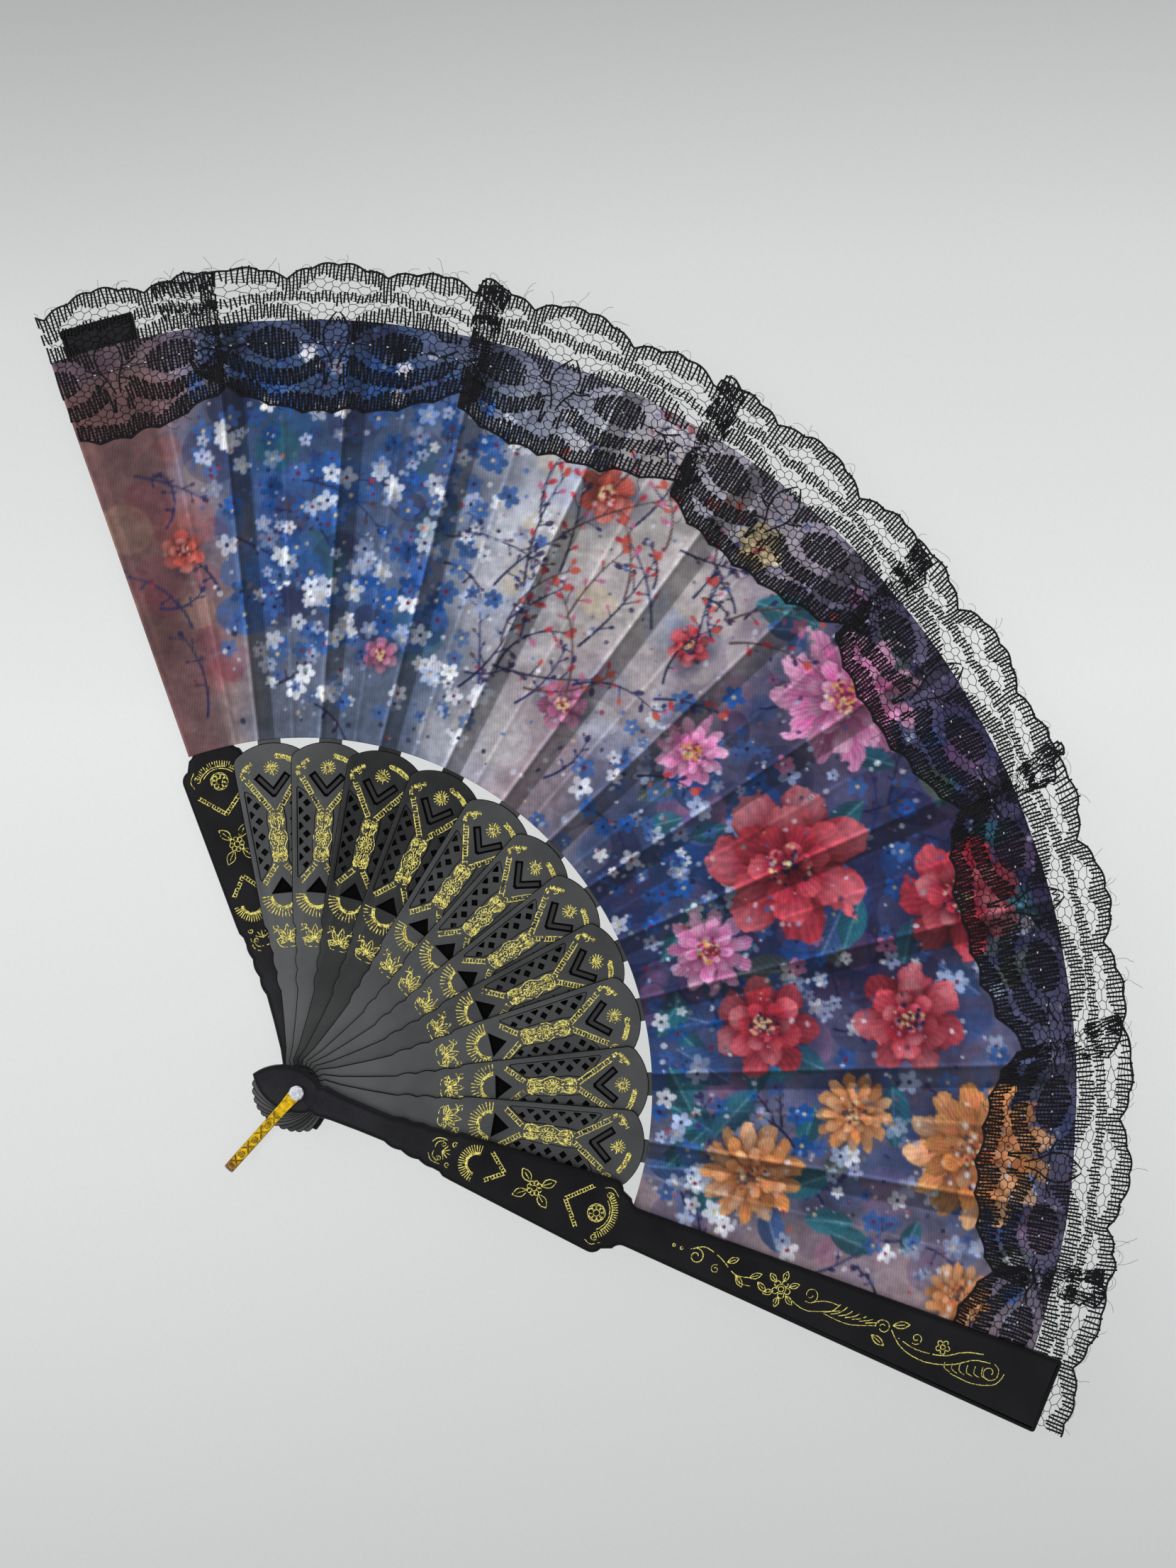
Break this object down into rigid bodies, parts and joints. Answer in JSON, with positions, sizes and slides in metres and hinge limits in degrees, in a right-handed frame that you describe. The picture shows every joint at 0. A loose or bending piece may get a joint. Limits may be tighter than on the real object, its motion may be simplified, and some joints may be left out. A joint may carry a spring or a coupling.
{
  "type": "folding hand fan",
  "caption": "Folding hand fan: slotted plastic sticks on one rivet, a pleated satin leaf with a lace rim, and a gold bail for a wrist cord.",
  "frame": {"origin": "on the rivet's axis, at the foot of the rivet's head, which is the lowest point", "axes": "+Z along the rivet from the back of the fan to its front, +Y along the middle of the spread fan, +X towards the front guard's side"},
  "size_m": [0.4108, 0.2542, 0.0204],
  "materials": {
    "guard_plastic": "satin black, moulded, soft edges",
    "rib_plastic": "glossy smoke black, slightly see-through",
    "rivet_metal": "polished",
    "rhinestone": "faceted, foil-backed",
    "bail_gold": "bright gold, embossed",
    "satin": "printed satin with a fine twill, slightly sheer",
    "lace": "black lace net",
    "gold_foil": "hot-stamped foil"
  },
  "bodies": {
    "rear": {"rear_guard": "guard_plastic", "rivet": "rivet_metal", "stone_cup": "rivet_metal", "rhinestone": "rhinestone", "leaf_on_rear_guard": "satin", "leaf_fold_01": "satin", "lace_01": "lace"},
    "stick_01": {"rib_01": "rib_plastic", "leaf_on_rib_01": "satin", "leaf_fold_02": "satin", "lace_02": "lace"},
    "stick_02": {"rib_02": "rib_plastic", "leaf_on_rib_02": "satin", "leaf_fold_03": "satin", "lace_03": "lace"},
    "stick_03": {"rib_03": "rib_plastic", "leaf_on_rib_03": "satin", "leaf_fold_04": "satin", "lace_04": "lace"},
    "stick_04": {"rib_04": "rib_plastic", "leaf_on_rib_04": "satin", "leaf_fold_05": "satin", "lace_05": "lace"},
    "stick_05": {"rib_05": "rib_plastic", "leaf_on_rib_05": "satin", "leaf_fold_06": "satin", "lace_06": "lace"},
    "stick_06": {"rib_06": "rib_plastic", "leaf_on_rib_06": "satin", "leaf_fold_07": "satin", "lace_07": "lace"},
    "stick_07": {"rib_07": "rib_plastic", "leaf_on_rib_07": "satin", "leaf_fold_08": "satin", "lace_08": "lace"},
    "stick_08": {"rib_08": "rib_plastic", "leaf_on_rib_08": "satin", "leaf_fold_09": "satin", "lace_09": "lace"},
    "stick_09": {"rib_09": "rib_plastic", "leaf_on_rib_09": "satin", "leaf_fold_10": "satin", "lace_10": "lace"},
    "stick_10": {"rib_10": "rib_plastic", "leaf_on_rib_10": "satin", "leaf_fold_11": "satin", "lace_11": "lace"},
    "stick_11": {"rib_11": "rib_plastic", "leaf_on_rib_11": "satin", "leaf_fold_12": "satin", "lace_12": "lace"},
    "front": {"front_guard": "guard_plastic", "leaf_on_front_guard": "satin", "lace_13": "lace"},
    "wrist_bail": {"bail": "bail_gold"}
  },
  "joints": [
    {"name": "stick_01_turn", "type": "hinge", "parent": "rear", "child": "stick_01", "pos_m": [0, 0, 0], "axis": [0, 0, 1], "range_deg": [-0.5, 9.6], "deforming": ["leaf_fold_01", "lace_01"]},
    {"name": "stick_02_turn", "type": "hinge", "parent": "stick_01", "child": "stick_02", "pos_m": [0, 0, 0], "axis": [0, 0, 1], "range_deg": [-0.54, 10.3], "deforming": ["leaf_fold_02", "lace_02"]},
    {"name": "stick_03_turn", "type": "hinge", "parent": "stick_02", "child": "stick_03", "pos_m": [0, 0, 0], "axis": [0, 0, 1], "range_deg": [-0.52, 10], "deforming": ["leaf_fold_03", "lace_03"]},
    {"name": "stick_04_turn", "type": "hinge", "parent": "stick_03", "child": "stick_04", "pos_m": [0, 0, 0], "axis": [0, 0, 1], "range_deg": [-0.58, 11.2], "deforming": ["leaf_fold_04", "lace_04"]},
    {"name": "stick_05_turn", "type": "hinge", "parent": "stick_04", "child": "stick_05", "pos_m": [0, 0, 0], "axis": [0, 0, 1], "range_deg": [-0.57, 11], "deforming": ["leaf_fold_05", "lace_05"]},
    {"name": "stick_06_turn", "type": "hinge", "parent": "stick_05", "child": "stick_06", "pos_m": [0, 0, 0], "axis": [0, 0, 1], "range_deg": [-0.52, 10], "deforming": ["leaf_fold_06", "lace_06"]},
    {"name": "stick_07_turn", "type": "hinge", "parent": "stick_06", "child": "stick_07", "pos_m": [0, 0, 0], "axis": [0, 0, 1], "range_deg": [-0.52, 9.9], "deforming": ["leaf_fold_07", "lace_07"]},
    {"name": "stick_08_turn", "type": "hinge", "parent": "stick_07", "child": "stick_08", "pos_m": [0, 0, 0], "axis": [0, 0, 1], "range_deg": [-0.52, 10], "deforming": ["leaf_fold_08", "lace_08"]},
    {"name": "stick_09_turn", "type": "hinge", "parent": "stick_08", "child": "stick_09", "pos_m": [0, 0, 0], "axis": [0, 0, 1], "range_deg": [-0.53, 10.1], "deforming": ["leaf_fold_09", "lace_09"]},
    {"name": "stick_10_turn", "type": "hinge", "parent": "stick_09", "child": "stick_10", "pos_m": [0, 0, 0], "axis": [0, 0, 1], "range_deg": [-0.64, 12.2], "deforming": ["leaf_fold_10", "lace_10"]},
    {"name": "stick_11_turn", "type": "hinge", "parent": "stick_10", "child": "stick_11", "pos_m": [0, 0, 0], "axis": [0, 0, 1], "range_deg": [-0.57, 10.9], "deforming": ["leaf_fold_11", "lace_11"]},
    {"name": "front_guard_turn", "type": "hinge", "parent": "stick_11", "child": "front", "pos_m": [0, 0, 0], "axis": [0, 0, 1], "range_deg": [-0.64, 12.2], "deforming": ["leaf_fold_12", "lace_12"]},
    {"name": "bail_swing", "type": "hinge", "parent": "rear", "child": "wrist_bail", "pos_m": [0, 0, 0], "axis": [0, 0, 1], "range_deg": [-105, 85]}
  ],
  "couplings": [
    {"joint": "stick_02_turn", "follows": "stick_01_turn", "ratio": 1.0729},
    {"joint": "stick_03_turn", "follows": "stick_01_turn", "ratio": 1.0417},
    {"joint": "stick_04_turn", "follows": "stick_01_turn", "ratio": 1.1667},
    {"joint": "stick_05_turn", "follows": "stick_01_turn", "ratio": 1.1458},
    {"joint": "stick_06_turn", "follows": "stick_01_turn", "ratio": 1.0417},
    {"joint": "stick_07_turn", "follows": "stick_01_turn", "ratio": 1.0312},
    {"joint": "stick_08_turn", "follows": "stick_01_turn", "ratio": 1.0417},
    {"joint": "stick_09_turn", "follows": "stick_01_turn", "ratio": 1.0521},
    {"joint": "stick_10_turn", "follows": "stick_01_turn", "ratio": 1.2708},
    {"joint": "stick_11_turn", "follows": "stick_01_turn", "ratio": 1.1354},
    {"joint": "front_guard_turn", "follows": "stick_01_turn", "ratio": 1.2708}
  ]
}
